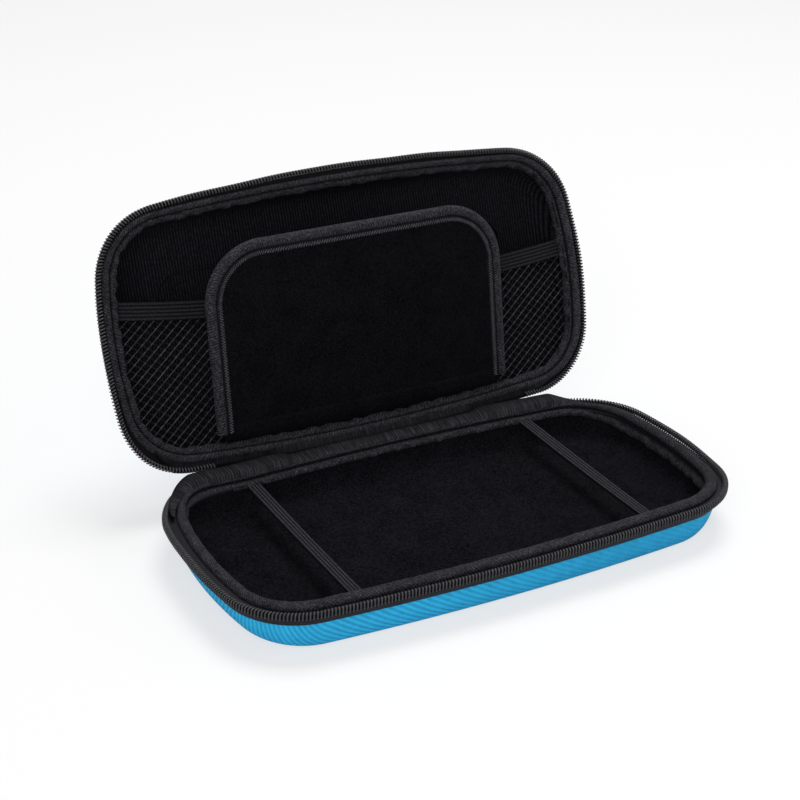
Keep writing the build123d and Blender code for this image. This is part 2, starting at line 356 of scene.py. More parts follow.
class Look:
    """One node material, with short calls for the nodes that it uses."""

    def __init__(self, name, roughness, specular):
        self.material = bpy.data.materials.new(name)
        self.material.use_nodes = True
        self.tree = self.material.node_tree
        self.shader = self.tree.nodes["Principled BSDF"]
        self.shader.inputs["Roughness"].default_value = roughness
        self.shader.inputs["Specular IOR Level"].default_value = specular

    def node(self, kind, inputs=(), **settings):
        """Adds a node, sets it and feeds its inputs by place from sockets or values."""
        node = self.tree.nodes.new(kind)
        for key, value in settings.items():
            setattr(node, key, value)
        for place, value in enumerate(inputs):
            if isinstance(value, bpy.types.NodeSocket):
                self.tree.links.new(value, node.inputs[place])
            elif value is not None:
                node.inputs[place].default_value = value
        return node

    def place(self):
        """Position in the part's own frame."""
        return self.node("ShaderNodeTexCoord").outputs["Object"]

    def facing(self):
        """Surface direction in the part's own frame."""
        return self.node("ShaderNodeTexCoord").outputs["Normal"]

    def cloth(self):
        """Distances along and across the cloth."""
        return self.node("ShaderNodeUVMap", uv_map="cloth").outputs["UV"]

    def shade(self):
        """Painted light and shade that the mesh gives its points."""
        return self.node("ShaderNodeAttribute", attribute_name="shade").outputs["Fac"]

    def math(self, operation, a, b=0.0, c=0.0):
        return self.node("ShaderNodeMath", (a, b, c), operation=operation).outputs[0]

    def dot(self, vector, direction):
        node = self.node("ShaderNodeVectorMath", (vector, direction), operation="DOT_PRODUCT")
        return node.outputs["Value"]

    def moved(self, place, direction, amount):
        """Place moved along a direction by an amount."""
        step = self.node("ShaderNodeVectorMath", (direction, None, None, amount), operation="SCALE")
        return self.node("ShaderNodeVectorMath", (place, step.outputs[0]), operation="ADD").outputs[0]

    def stripes(self, vector, direction, pitch):
        """Soft stripes between 0 and 1 across a direction."""
        turn = Vector(direction).normalized() * (2 * pi / (pitch * MM))
        wave = self.math("SINE", self.dot(vector, turn))
        return self.math("MULTIPLY_ADD", wave, 0.5, 0.5)

    def noise(self, vector, size, detail=2.0):
        """Cloudy noise between 0 and 1 with spots of a size in millimetres."""
        node = self.node("ShaderNodeTexNoise")
        self.tree.links.new(vector, node.inputs["Vector"])
        node.inputs["Scale"].default_value = 1 / (size * MM)
        node.inputs["Detail"].default_value = detail
        return node.outputs["Fac"]

    def spread(self, value, low, high):
        """Stretches a value so that low becomes 0 and high becomes 1."""
        return self.node("ShaderNodeMapRange", (value, low, high, 0.0, 1.0), clamp=True).outputs[0]

    def colour(self, value, dark, light):
        """Colours the surface between dark and light."""
        mix = self.node("ShaderNodeMix", data_type="RGBA")
        self.tree.links.new(value, mix.inputs["Factor"])
        colour_in = [s for s in mix.inputs if s.type == "RGBA"]
        colour_in[0].default_value = (*dark, 1)
        colour_in[1].default_value = (*light, 1)
        colour_out = [s for s in mix.outputs if s.type == "RGBA"][0]
        self.tree.links.new(colour_out, self.shader.inputs["Base Color"])

    def relief(self, height, depth):
        """Raises the surface by a height between 0 and 1 times a depth in millimetres."""
        bump = self.node("ShaderNodeBump")
        bump.inputs["Strength"].default_value = 1.0
        bump.inputs["Distance"].default_value = depth * MM
        self.tree.links.new(height, bump.inputs["Height"])
        self.tree.links.new(bump.outputs["Normal"], self.shader.inputs["Normal"])


def shell_look():
    """Blue pressed fabric with diagonal ribs that fade towards the right end."""
    look = Look("blue_fabric", 0.75, 0.12)
    place = look.place()
    facing = look.facing()
    height = look.node("ShaderNodeSeparateXYZ", (place,)).outputs["Z"]
    level = look.node("ShaderNodeVectorMath", (facing, (1, 1, 0)), operation="MULTIPLY").outputs[0]
    unfolded = look.moved(place, level, height)
    ribs = look.stripes(unfolded, (-0.573, 0.82, 0), 2.6)
    across = look.node("ShaderNodeSeparateXYZ", (place,)).outputs["X"]
    fade = look.node("ShaderNodeMapRange", (across, 0.05, -0.05, 0.25, 1.0), clamp=True).outputs[0]
    grain = look.noise(place, 0.7, 3)
    mottle = look.noise(place, 5.0, 2)
    ridge = look.math("MULTIPLY", ribs, fade)
    tone = look.math("MULTIPLY_ADD", look.math("SUBTRACT", grain, 0.5), 0.7, 0.35)
    tone = look.math("ADD", tone, look.math("MULTIPLY_ADD", ridge, 0.55, -0.1))
    tone = look.math("ADD", tone, look.math("MULTIPLY", look.math("SUBTRACT", mottle, 0.5), 0.4))
    look.colour(tone, (0.014, 0.225, 0.43), (0.034, 0.5, 0.86))
    look.relief(look.math("MULTIPLY_ADD", grain, 0.35, ridge), 0.3)
    return look.material


def felt_look(name, dark, light):
    """Napped black felt."""
    look = Look(name, 0.95, 0.03)
    place = look.place()
    nap = look.noise(place, 0.8, 3)
    cloud = look.noise(place, 11.0, 2)
    tone = look.math("MULTIPLY_ADD", nap, 0.8, look.math("MULTIPLY", cloud, 0.2))
    look.colour(look.spread(tone, 0.36, 0.67), dark, light)
    look.relief(nap, 0.08)
    return look.material


def ribbed_look(name, dark, light):
    """Black lining with fine ribs that run up the lid."""
    look = Look(name, 0.95, 0.03)
    place = look.place()
    wobble = look.noise(place, 3.0, 2)
    sideways = look.node("ShaderNodeCombineXYZ", (wobble,)).outputs[0]
    ribs = look.stripes(look.moved(place, sideways, 0.5 * MM), (1, 0, 0), 1.4)
    nap = look.spread(look.noise(place, 1.2, 3), 0.3, 0.7)
    worn = look.math("MULTIPLY_ADD", nap, 0.7, 0.3)
    look.colour(look.math("MULTIPLY", worn, look.math("MULTIPLY_ADD", ribs, 0.75, 0.1)), dark, light)
    look.relief(ribs, 0.05)
    return look.material


def twill_look(name, dark, light, slope):
    """Twill tape: uneven diagonal hatching, darkened and lightened by the mesh's painted light and shade, with
    painted shade where the cloth lies in a fold or a seam.
    """
    look = Look(name, 0.75, 0.08)
    cloth = look.cloth()
    run = look.dot(cloth, Vector((1, slope, 0)).normalized())
    line = look.dot(cloth, Vector((-slope, 1, 0)).normalized() * 0.45)
    turned = look.node("ShaderNodeCombineXYZ", (run, line)).outputs[0]
    hatch = look.spread(look.noise(turned, twill_pitch * 0.7, 2), 0.34, 0.66)
    lines = look.stripes(cloth, (1, slope, 0), twill_pitch * 1.15)
    grain = look.spread(look.noise(cloth, 1.1, 3), 0.34, 0.68)
    patches = look.spread(look.noise(cloth, 7.0, 2), 0.3, 0.7)
    tone = look.math("MULTIPLY_ADD", hatch, 0.4, look.math("MULTIPLY", lines, 0.4))
    tone = look.math("MULTIPLY", tone, look.math("MULTIPLY_ADD", grain, 1.0, 0.25))
    tone = look.math("MULTIPLY", tone, look.math("MULTIPLY_ADD", patches, 0.6, 0.7))
    # Painted light and shade: the mesh's shade scales the hatching's tone.
    look.colour(look.math("MULTIPLY", tone, look.shade()), dark, light)
    look.relief(hatch, 0.08)
    return look.material


def tape_look(name, dark, light, roughness):
    """Plain fine cloth with a faint sheen."""
    look = Look(name, roughness, 0.12)
    place = look.place()
    weave = look.noise(place, 0.5, 2)
    cloud = look.noise(place, 12.0, 2)
    look.colour(look.math("MULTIPLY_ADD", weave, 0.5, look.math("MULTIPLY", cloud, 0.5)), dark, light)
    look.relief(weave, 0.05)
    return look.material


def nylon_look(name, dark, light):
    """Satin nylon of the zip teeth."""
    look = Look(name, 0.38, 0.25)
    place = look.place()
    look.colour(look.noise(place, 1.5, 2), dark, light)
    look.relief(look.noise(place, 0.35, 2), 0.03)
    return look.material


def elastic_look(name, dark, light, rib_pitch):
    """Elastic webbing: fine cross threads on its ribs, with painted shade in the gaps between them."""
    look = Look(name, 0.8, 0.08)
    cloth = look.cloth()
    cross = look.stripes(cloth, (1, 0, 0), 0.9)
    turn = look.dot(cloth, (0, pi / (rib_pitch * MM), 0))
    # Painted shade: the tone falls to dark in the gaps between the ribs.
    rib = look.math("POWER", look.math("ABSOLUTE", look.math("SINE", turn)), 1.6)
    grain = look.spread(look.noise(cloth, 1.2, 3), 0.2, 0.75)
    threads = look.math("MULTIPLY_ADD", cross, 0.4, 0.3)
    tone = look.math("MULTIPLY", threads, look.math("ADD", grain, 0.4))
    look.colour(look.math("MULTIPLY", tone, rib), dark, light)
    look.relief(cross, 0.12)
    return look.material


def thread_look(name, dark, light):
    """Sewing thread."""
    look = Look(name, 0.7, 0.08)
    cloth = look.cloth()
    twist = look.stripes(cloth, (1, 0.8, 0), 0.45)
    grain = look.noise(look.place(), 2.0, 2)
    look.colour(look.math("MULTIPLY", twist, look.spread(grain, 0.2, 0.7)), dark, light)
    look.relief(twist, 0.05)
    return look.material


def net_look(name, dark, light):
    """Net yarn, with painted shade on the row that lies behind."""
    look = Look(name, 0.7, 0.08)
    twist = look.stripes(look.cloth(), (1, 0.8, 0), 0.45)
    grain = look.spread(look.noise(look.place(), 2.0, 2), 0.2, 0.7)
    tone = look.math("MULTIPLY", look.math("MULTIPLY_ADD", twist, 0.7, 0.3), grain)
    look.colour(look.math("MULTIPLY", tone, look.shade()), dark, light)
    look.relief(twist, 0.05)
    return look.material


def metal_look(name, dark, light):
    """Black painted metal of the sliders, worn a little lighter on its edges."""
    look = Look(name, 0.38, 0.5)
    place = look.place()
    edge = look.node("ShaderNodeNewGeometry").outputs["Pointiness"]
    wear = look.math("MULTIPLY", look.spread(edge, 0.5, 0.6), look.noise(place, 1.2, 3))
    look.colour(wear, dark, light)
    look.relief(look.noise(place, 0.4, 2), 0.02)
    return look.material


blue_fabric = shell_look()
base_felt = felt_look("base_felt", (0.0009, 0.00087, 0.0012), (0.0102, 0.0098, 0.0129))
lid_ribbed = ribbed_look("lid_ribbed", (0.0014, 0.00135, 0.0018), (0.021, 0.02, 0.0255))
flap_felt = felt_look("flap_felt", (0.0012, 0.00115, 0.0015), (0.0066, 0.0063, 0.008))
twill = twill_look("twill", (0.001, 0.00097, 0.0013), (0.067, 0.0647, 0.0777), 0.75)
spine_twill = twill_look("spine_twill", (0.001, 0.00097, 0.0013), (0.048, 0.0463, 0.0557), 0.6)
flap_twill = twill_look("flap_twill", (0.0014, 0.00135, 0.0018), (0.085, 0.082, 0.0985), 0.25)
base_tape = tape_look("base_tape", (0.0055, 0.0053, 0.0072), (0.0145, 0.0139, 0.0185), 0.6)
# Painted shade: the lid's tape is a darker copy of the base's tape, as if in deep shadow between the coil and
# the binding.
lid_tape_painted_shade = tape_look("lid_tape_painted_shade", (0.0012, 0.0012, 0.0016), (0.0045, 0.0043, 0.0056), 0.8)
piping_cloth = tape_look("piping_cloth", (0.005, 0.0048, 0.0058), (0.0125, 0.0118, 0.0138), 0.55)
coil_nylon = nylon_look("coil_nylon", (0.017, 0.0164, 0.0192), (0.056, 0.054, 0.062))
coil_core = tape_look("coil_core", (0.001, 0.001, 0.0013), (0.0024, 0.0024, 0.003), 0.8)
# Painted shade colour for the gaps between the elastic ribs.
painted_rib_gap_shade = (0.0015, 0.0015, 0.002)
strap_elastic = elastic_look("strap_elastic", painted_rib_gap_shade, (0.066, 0.0635, 0.074), strap_width / strap_ribs)
band_elastic = elastic_look("band_elastic", painted_rib_gap_shade, (0.034, 0.0327, 0.0394), band_height / band_ribs)
net_yarn = net_look("net_yarn", (0.003, 0.0029, 0.0035), (0.115, 0.111, 0.13))
stitch_thread = thread_look("stitch_thread", (0.07, 0.068, 0.078), (0.28, 0.27, 0.31))
dark_thread = thread_look("dark_thread", (0.002, 0.002, 0.0025), (0.016, 0.0155, 0.018))
slider_paint = metal_look("slider_paint", (0.01, 0.01, 0.011), (0.08, 0.08, 0.085))

cad_looks = {
    "base_lining": base_felt,
    "lid_lining": lid_ribbed,
    "base_zip_tape": base_tape,
    "lid_zip_tape": lid_tape_painted_shade,
}
for half in ("base", "lid"):
    cad_looks[f"{half}_shell"] = blue_fabric
    cad_looks[f"{half}_piping"] = piping_cloth
for side in ("left", "right"):
    cad_looks[f"slider_{side}"] = slider_paint
    cad_looks[f"pull_{side}"] = slider_paint
for node_name, look_material in cad_looks.items():
    node = frame["nodes"][node_name]
    node.data.materials.clear()
    node.data.materials.append(look_material)

halves = {"base": (on_base, coil_gap_base, 0.4), "lid": (on_lid, coil_gap_lid, 2.3)}


def rim_place(rows, inset, height):
    """Points at an inset from the rim and a height against the zip plane, beside rim frames."""
    inset = np.asarray(inset, float)
    height = np.asarray(height, float)
    x = rows[:, None, 0] - rows[:, None, 2] * inset
    y = rows[:, None, 1] - rows[:, None, 3] * inset
    z = zip_plane + height + np.zeros_like(x)
    return np.stack([x, y, z], axis=-1)


def near_spot(rows, spot):
    """Bell curve of rim frames round a spot given as x, y and width."""
    x, y, width = spot
    return np.exp(-((rows[:, 0] - x) ** 2 + (rows[:, 1] - y) ** 2) / width**2)


def corner_bulge(rows):
    """How far the base's soft rim bulges out at its left corner of the back."""
    return base_corner_bulge * near_spot(rows, base_corner)


def edge_slack(half, rows):
    """How far the soft edge with the zip bulges out of the rim outline."""
    ripple = ripple_height * waves(2 * pi * rows[:, 4] / rim_length(), (7, 11, 17), 0.4)
    if half == "lid":
        middle = np.clip(1 - (rows[:, 0] / lid_top_reach) ** 2, 0, 1)
        top = lid_top_bulge * np.clip(-rows[:, 3], 0, 1) ** 6 * middle
        return ripple + top + lid_corner_bulge * near_spot(rows, lid_corner)
    return ripple + base_end_bulge * np.clip(rows[:, 2], 0, 1) ** 4 + corner_bulge(rows)


# Zip teeth: one bent loop of nylon each, on a dark core
tooth_section = [
    (0.66, -3.15),
    (0.62, -2.2),
    (0.62, -1.25),
    (0.85, -0.78),
    (1.6, -0.6),
    (2.35, -0.78),
    (2.56, -1.3),
    (2.52, -2.2),
    (2.4, -3.15),
]


def tooth_grid():
    """One tooth as distance along the rim, inset and height."""
    section = smooth_path(tooth_section, tooth_points)
    along = np.interp(np.arange(tooth_points), [0, 4, 8, 12], [0, 0.1, 0.65, 0.75]) * tooth_pitch * tooth_slant
    return tube(np.column_stack([along, section]), (1, 0, 0), tooth_radius, tooth_sides)[0]


for half, (to_half, coil_gap, _) in halves.items():
    rows = rim_frames(int(round(rim_length() / tooth_pitch)))
    rows = rows[~((np.abs(rows[:, 0]) < coil_gap) & (rows[:, 1] > 0))]
    tooth = tooth_grid()
    grids = []
    for (x, y, out_x, out_y, _), slack in zip(rows, edge_slack(half, rows)):
        along = tooth[..., 0]
        inset = tooth[..., 1] - slack
        tooth_x = x - out_y * along - out_x * inset
        tooth_y = y + out_x * along - out_y * inset
        points = np.stack([tooth_x, tooth_y, zip_plane + tooth[..., 2]], axis=-1)
        grids.append(patch(to_half(points), loop_across=True))
    piece(build(f"{half}_zip_teeth", grids), half, coil_nylon, [f"{half}_zip_coil"])
    turn = np.linspace(0, 2 * pi, core_sides + 1)[:-1]
    frames = rim_frames(core_steps)
    back = (np.abs(frames[:, 0]) < coil_gap) & (frames[:, 1] > 0)
    start = int(np.argmax(back)) + int(back.sum())
    frames = np.roll(frames, -start, axis=0)[: len(frames) - int(back.sum())]
    slack = edge_slack(half, frames)[:, None]
    inset = core_inset + core_half_width * np.cos(turn) - slack
    core = rim_place(frames, inset, core_level + core_half_height * np.sin(turn))
    mesh = build(f"{half}_zip_core", [patch(to_half(core), loop_across=True)])
    piece(mesh, half, coil_core)

# Binding: twill rolled over the rim beside the coil, sewn down in a groove above a wavy hem. Each
# section runs from its foot on the tape over the roll (points 1 to 8), the groove (9) and the hem.
binding_sections = {
    "base": {
        "left": [
            (7.0, -3.05), (6.9, -2.4), (7.15, -1.5), (7.9, -0.75), (9.1, -0.45), (10.3, -0.7),
            (11.2, -1.4), (11.6, -2.2), (11.5, -2.9), (10.8, -3.4), (11.3, -3.9), (11.9, -4.7),
            (12.0, -5.6), (11.6, -6.4), (10.9, -6.7), (9.8, -6.6), (8.9, -6.5),
        ],
        "front": [
            (6.4, -3.05), (6.2, -2.3), (6.4, -1.4), (7.3, -0.7), (8.9, -0.42), (10.6, -0.62),
            (11.6, -1.3), (12.0, -2.1), (11.9, -2.9), (11.2, -3.35), (11.8, -3.9), (12.2, -4.7),
            (12.2, -5.6), (11.8, -6.3), (11.2, -6.6), (10.2, -6.5), (9.1, -6.4),
        ],
        "right": [
            (3.6, -3.05), (3.4, -2.2), (3.7, -1.3), (4.7, -0.65), (6.2, -0.45), (7.6, -0.75),
            (8.6, -1.4), (9.0, -2.1), (8.95, -2.8), (8.75, -3.6), (9.0, -4.5), (9.9, -5.3),
            (10.8, -6.0), (11.3, -7.0), (11.2, -8.0), (10.5, -8.6), (9.5, -8.3),
        ],
        "back": [
            (4.6, -3.05), (4.5, -2.3), (4.6, -1.5), (4.9, -0.85), (5.5, -0.45), (6.2, -0.5),
            (6.65, -0.95), (6.7, -1.5), (6.4, -2.0), (6.3, -2.5), (7.0, -2.55), (8.0, -2.5),
            (8.9, -2.85), (9.5, -3.6), (9.6, -4.5), (9.3, -5.1), (9.0, -5.2),
        ],
    },
    "lid": {
        "left": [
            (3.4, -3.05), (3.1, -2.3), (3.2, -1.5), (3.7, -0.8), (4.6, -0.45), (5.5, -0.55),
            (6.1, -1.0), (6.3, -1.6), (6.2, -2.1), (6.6, -2.5), (7.2, -2.0), (8.2, -1.6),
            (9.3, -1.9), (10.0, -2.8), (10.1, -3.8), (9.7, -4.7), (9.0, -4.8),
        ],
        "front": [
            (3.4, -3.05), (3.1, -2.3), (3.15, -1.5), (3.5, -0.8), (4.2, -0.45), (5.0, -0.55),
            (5.6, -1.0), (5.8, -1.6), (5.7, -2.1), (6.0, -2.5), (6.5, -2.25), (7.3, -2.1),
            (8.2, -2.5), (8.9, -3.3), (9.1, -4.3), (9.0, -5.2), (8.9, -5.6),
        ],
        "right": [
            (3.4, -3.05), (3.1, -2.3), (3.2, -1.4), (3.9, -0.7), (5.0, -0.42), (6.1, -0.6),
            (6.9, -1.2), (7.1, -1.9), (6.9, -2.5), (6.9, -2.9), (7.6, -2.85), (8.5, -3.0),
            (9.2, -3.8), (9.7, -4.8), (9.8, -5.8), (9.4, -6.5), (9.0, -6.4),
        ],
        "back": [
            (4.6, -3.05), (4.5, -2.3), (4.6, -1.5), (5.0, -0.85), (5.8, -0.45), (6.8, -0.5),
            (7.4, -1.0), (7.6, -1.6), (7.4, -2.2), (7.5, -2.7), (8.2, -2.55), (9.2, -2.6),
            (10.2, -3.1), (10.9, -4.0), (10.9, -4.9), (10.3, -5.4), (9.5, -5.3),
        ],
    },
}
binding_steps = 56
groove_point = 9
# Painted shade along the sewn groove: its width across the section, and how dark it gets on each side.
groove_shade_width = {"base": 1.9, "lid": 0.95}
groove_painted_shade = {
    "base": {"right": 0.96, "left": 0.9, "back": 0.96, "front": 0.9},
    "lid": {"right": 0.95, "left": 0.8, "back": 0.85, "front": 0.55},
}
# Painted light of the whole binding on each side, lighter or darker as light falls there.
side_painted_light = {
    "base": {"right": 0.75, "left": 1.2, "back": 1.0, "front": 1.0},
    "lid": {"right": 1.2, "left": 0.85, "back": 0.9, "front": 0.9},
}
stitch_pitch = 3.2


def side_shares(rows):
    """How much each rim frame belongs to the right, left, back and front side."""
    x = rows[:, 2]
    y = rows[:, 3]
    sides = {"right": x, "left": -x, "back": y, "front": -y}
    return {side: np.maximum(share, 0)[:, None] ** 2 for side, share in sides.items()}


def near_point(place, point, width):
    """Bell curve round one of the section's points."""
    return np.exp(-(((place - point) / width) ** 2))


def binding_points(half, phase):
    """Rim frames, grid and painted light and shade of the binding, with its puckers and wavy hem."""
    rows = rim_frames(rim_steps)
    sections = {side: smooth_path(path, binding_steps) for side, path in binding_sections[half].items()}
    shares = side_shares(rows)
    inset = sum(shares[side] * sections[side][:, 0] for side in shares)
    height = sum(shares[side] * sections[side][:, 1] for side in shares)
    turn = (2 * pi * np.arange(rim_steps) / rim_steps)[:, None]
    place = np.linspace(0, len(binding_sections[half]["front"]) - 1, binding_steps)
    groove = near_point(place, groove_point, 0.8)
    hem = np.clip((place - groove_point - 1) / 2, 0, 1) * np.clip((16 - place) / 2, 0, 1)
    crest = near_point(place, 4.5, 2.2)
    pulls = 0.5 + 0.5 * np.cos(2 * pi * rows[:, 4] / stitch_pitch)[:, None]
    height -= groove * 0.35 * pulls
    inset += hem * hem_wave * waves(turn, (23, 57, 89), phase)
    height += hem * hem_wave * waves(turn, (31, 61, 97), phase + 1)
    height += crest * 0.1 * waves(turn, (37, 59, 113), phase + 2)
    inset += crest * 0.15 * waves(turn, (29, 47, 71), phase + 3)
    if half == "base":
        inset = inset - corner_bulge(rows)[:, None]
    # Painted light by side, times painted shade along the groove, given to the points as their shade.
    dark = sum(shares[side] * groove_painted_shade[half][side] for side in shares)
    light = sum(shares[side] * side_painted_light[half][side] for side in shares)
    light = light * (1 - dark * near_point(place, groove_point, groove_shade_width[half]))
    return rows, rim_place(rows, inset, height), light


def shade(mesh, values):
    """Gives each point of a mesh its painted light and shade, for the looks that use it."""
    layer = mesh.attributes.new("shade", "FLOAT", "POINT")
    layer.data.foreach_set("value", np.asarray(values, np.float32).ravel())


for half, (to_half, _, phase) in halves.items():
    rows, points, light = binding_points(half, phase)
    whole = rim_length()
    along = np.concatenate([rows[:, 4], [whole]])
    across = steps_along(smooth_path(binding_sections[half]["front"], binding_steps))
    mesh = build(f"{half}_binding_cloth", [patch(to_half(points), along, across, loop_along=True)])
    shade(mesh, light)
    cloth = piece(mesh, half, twill, [f"{half}_binding"])
    thicken(cloth, binding_cloth)
    groove_line = points[:, int(round(groove_point / 16 * (binding_steps - 1)))]
    stitches = []
    for number in range(int(whole / stitch_pitch)):
        middle = (number + 0.5) * stitch_pitch / whole * rim_steps
        spots = middle + np.linspace(-0.32, 0.32, 5) * stitch_pitch / whole * rim_steps
        path = [np.interp(spots, np.arange(rim_steps), groove_line[:, k]) for k in range(3)]
        path = np.stack(path, axis=1)
        path[:, 2] += 0.2
        up = to_half(path + [0, 0, 1])[0] - to_half(path)[0]
        stitches.append(tube(to_half(path), up, [0.05, 0.2, 0.22, 0.2, 0.05], 5))
    thread = piece(build(f"{half}_binding_stitches", stitches), half, dark_thread)

# Spine cloth: twill over the hinge, a lobe on each half with a fold between them. It rises over the
# sliders, and its ends run out along the coil.
spine_steps = 200
lobe_steps = 30
spine_reach = {"base": (-119.0, 104.0), "lid": (-111.0, 98.0)}
spine_tapers = {"base": (34.0, 16.0), "lid": (14.0, 16.0)}
slider_from = 46.0
slider_to = 53.0
spine_root = 5.6
spine_lobes = {
    "base": (
        [
            (6.4, -0.8), (5.6, -0.25), (4.6, 0.0), (3.4, 0.1), (2.2, 0.2),
            (1.0, 0.25), (-0.1, 0.2), (-0.9, -0.1), (-1.3, -0.8), (-1.3, -2.6),
        ],
        [
            (6.4, -0.8), (5.7, 0.0), (5.0, 0.95), (4.3, 1.45), (3.0, 1.6),
            (1.4, 1.6), (-0.2, 1.55), (-1.4, 1.35), (-1.9, 0.4), (-1.9, -1.0),
        ],
    ),
    "lid": (
        [
            (6.6, -0.8), (5.6, -0.7), (4.6, -0.6), (3.6, -0.35), (2.6, -0.15),
            (1.7, -0.1), (0.9, -0.6), (0.4, -1.6), (0.2, -2.9), (0.3, -4.6),
        ],
        [
            (6.6, -0.8), (5.6, -0.85), (4.6, -1.3), (3.6, -1.7), (2.6, -1.8),
            (1.7, -1.8), (0.9, -2.1), (0.4, -2.7), (0.2, -3.5), (0.3, -4.8),
        ],
    ),
}

# Painted light and shade across each lobe, as points of its section and their share of light: lighter near the
# binding, painted shade deepening to near black at the fold.
spine_painted_light_and_shade = {
    "base": ([0, 3, 14, 19, 22], [0.7, 1.1, 0.9, 0.65, 0.03]),
    "lid": ([0, 2, 6, 12, 15], [1.2, 0.9, 0.5, 0.35, 0.03]),
}


def spine_points(half):
    """Grid of one lobe, from the binding's roll out to the fold."""
    rows = rim_frames(4 * rim_steps)
    left, right = spine_reach[half]
    rows = rows[(rows[:, 1] > 0) & (rows[:, 0] > left) & (rows[:, 0] < right)]
    rows = rows[np.linspace(0, len(rows) - 1, spine_steps).astype(int)]
    x = rows[:, 0:1]
    low, high = [smooth_path(lobe, lobe_steps) for lobe in spine_lobes[half]]
    left_taper, right_taper = spine_tapers[half]
    from_right = (rows[:, 4] - rows[0, 4]) / right_taper
    from_left = (rows[-1, 4] - rows[:, 4]) / left_taper
    width = 0.1 + 0.9 * np.clip(np.minimum(from_right, from_left)[:, None], 0, 1)
    raised = np.clip((np.abs(x) - slider_from) / (slider_to - slider_from), 0, 1)
    raised = raised * np.clip(width * 2 - 1, 0, 1)
    raised = raised**2 * (3 - 2 * raised)
    inset = low[:, 0] * (1 - raised) + high[:, 0] * raised
    height = low[:, 1] * (1 - raised) + high[:, 1] * raised
    sag = half_depth - rows[:, 1:2]
    inset = inset - np.clip(sag, 0, 1.5) * np.clip((3.0 - inset) / 4, 0, 1) * (half == "base")
    inset = inset - edge_slack(half, rows)[:, None] * np.clip((4 - inset) / 4, 0, 1)
    inset = spine_root + (inset - spine_root) * width
    if half == "base":
        inset = inset - corner_bulge(rows)[:, None] * np.clip(inset / 4, 0, 1)
    height = height + (1 - width) * np.clip(-0.4 - height, None, 0)
    height = height + 0.14 * waves(x / 11.0, (1, 1.7, 2.9), 0.6) * np.clip(inset / 2, 0, 1)
    return rim_place(rows, inset, height)


for half, (to_half, _, _) in halves.items():
    grid = to_half(spine_points(half))
    mesh = build(f"{half}_spine_cloth", [patch(grid)])
    # Painted light and shade across the lobe, darkest at the fold.
    lobe_painted_light_and_shade = np.interp(np.arange(lobe_steps), *spine_painted_light_and_shade[half])
    shade(mesh, np.broadcast_to(lobe_painted_light_and_shade, grid.shape[:2]))
    lobe = piece(mesh, half, spine_twill, [f"{half}_spine"])
    thicken(lobe, 0.3, 0)

# Hinge cloth: the strip behind the hinge line
hinge_half_length = 49.0
hinge_steps = 60


def hinge_points():
    """Grid of the strip from the base's back, round the hinge line, to the lid's back."""
    x = np.linspace(-hinge_half_length, hinge_half_length, hinge_steps)[:, None]
    base_foot = np.array([(1.9, -7.6), (1.2, -6.4), (0.5, -5.0), (0.1, -4.3), (-0.2, -3.95)])
    lid_foot = [(-0.95, 2.3), (-0.9, 1.2), (-0.85, 0.2), (-0.6, -1.2), (-0.1, -2.4), (1.0, -4.2)]
    lid_foot = np.array(lid_foot)
    grids = []
    for foot, to_half in ((base_foot, on_base), (lid_foot, on_lid)):
        y = hinge_y - foot[:, 0] + 0 * x
        grids.append(to_half(np.stack([x + 0 * y, y, zip_plane + foot[:, 1] + 0 * x], axis=-1)))
    return np.concatenate(grids, axis=1)


hinge_grid = hinge_points()
hinge_mesh = build("hinge_cloth", [patch(hinge_grid)])
shade(hinge_mesh, np.ones(hinge_grid.shape[:2]))
hinge_cloth = piece(hinge_mesh, None, spine_twill)
thicken(hinge_cloth, 0.35, 0)
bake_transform(hinge_cloth)

# Straps: ribbed elastic across the base


def ribbed_section(width, ribs, rib_height, thickness, count):
    """Closed section of a ribbed band as places across and heights over its middle."""
    across = np.linspace(-width / 2, width / 2, count)
    rib = np.abs(np.sin(pi * ribs * (across + width / 2) / width)) ** 0.55
    top = np.stack([across, thickness / 2 + rib_height * rib], axis=1)
    bottom = np.array([(width / 2, -thickness / 2), (-width / 2, -thickness / 2)])
    return np.vstack([top, bottom])


def ribbed_across(section):
    """Places across a ribbed band for its cloth map, on round its closed section."""
    flat = np.abs(np.diff(section[:, 0], append=section[0, 0]))
    return np.concatenate([[0], np.cumsum(flat)])


strap_section = ribbed_section(strap_width, strap_ribs, strap_rib_height, strap_thickness, 49)
for name, place_x in (("strap_left", -strap_x), ("strap_right", strap_x)):
    y = np.linspace(strap_front, strap_back, 90)[:, None]
    sag = 0.5 * (1 - (y / strap_back) ** 2)
    twist = 0.05 * np.sin(2.1 * y / strap_back + place_x)
    x = place_x + strap_section[:, 0] + 0 * y
    z = zip_plane - strap_level - 0.55 + strap_section[:, 1] - sag + twist * strap_section[:, 0]
    points = np.stack([x, y + 0 * x, z], axis=-1)
    ends = patch(points, across=ribbed_across(strap_section), loop_across=True)
    piece(build(f"{name}_elastic", [ends]), "base", strap_elastic, [name])

# Net: two rows of slanted yarns that thicken where they cross


def inset_at(points):
    """How far points lie inside the rim outline."""
    rows = rim_frames(900)
    out = np.empty(len(points))
    for first in range(0, len(points), 4000):
        part = points[first : first + 4000]
        gap_x = part[:, None, 0] - rows[None, :, 0]
        gap_y = part[:, None, 1] - rows[None, :, 1]
        near = np.argmin(gap_x**2 + gap_y**2, axis=1)
        dx = part[:, 0] - rows[near, 0]
        dy = part[:, 1] - rows[near, 1]
        out[first : first + 4000] = -(dx * rows[near, 2] + dy * rows[near, 3])
    return out


def band_edge(x, height):
    """Place of the band's edge across the lid, at a height below its top."""
    centre = hinge_y - pocket_reach - band_radius
    radius = band_radius + height
    return centre + np.sqrt(radius**2 - (x - band_low_x) ** 2)


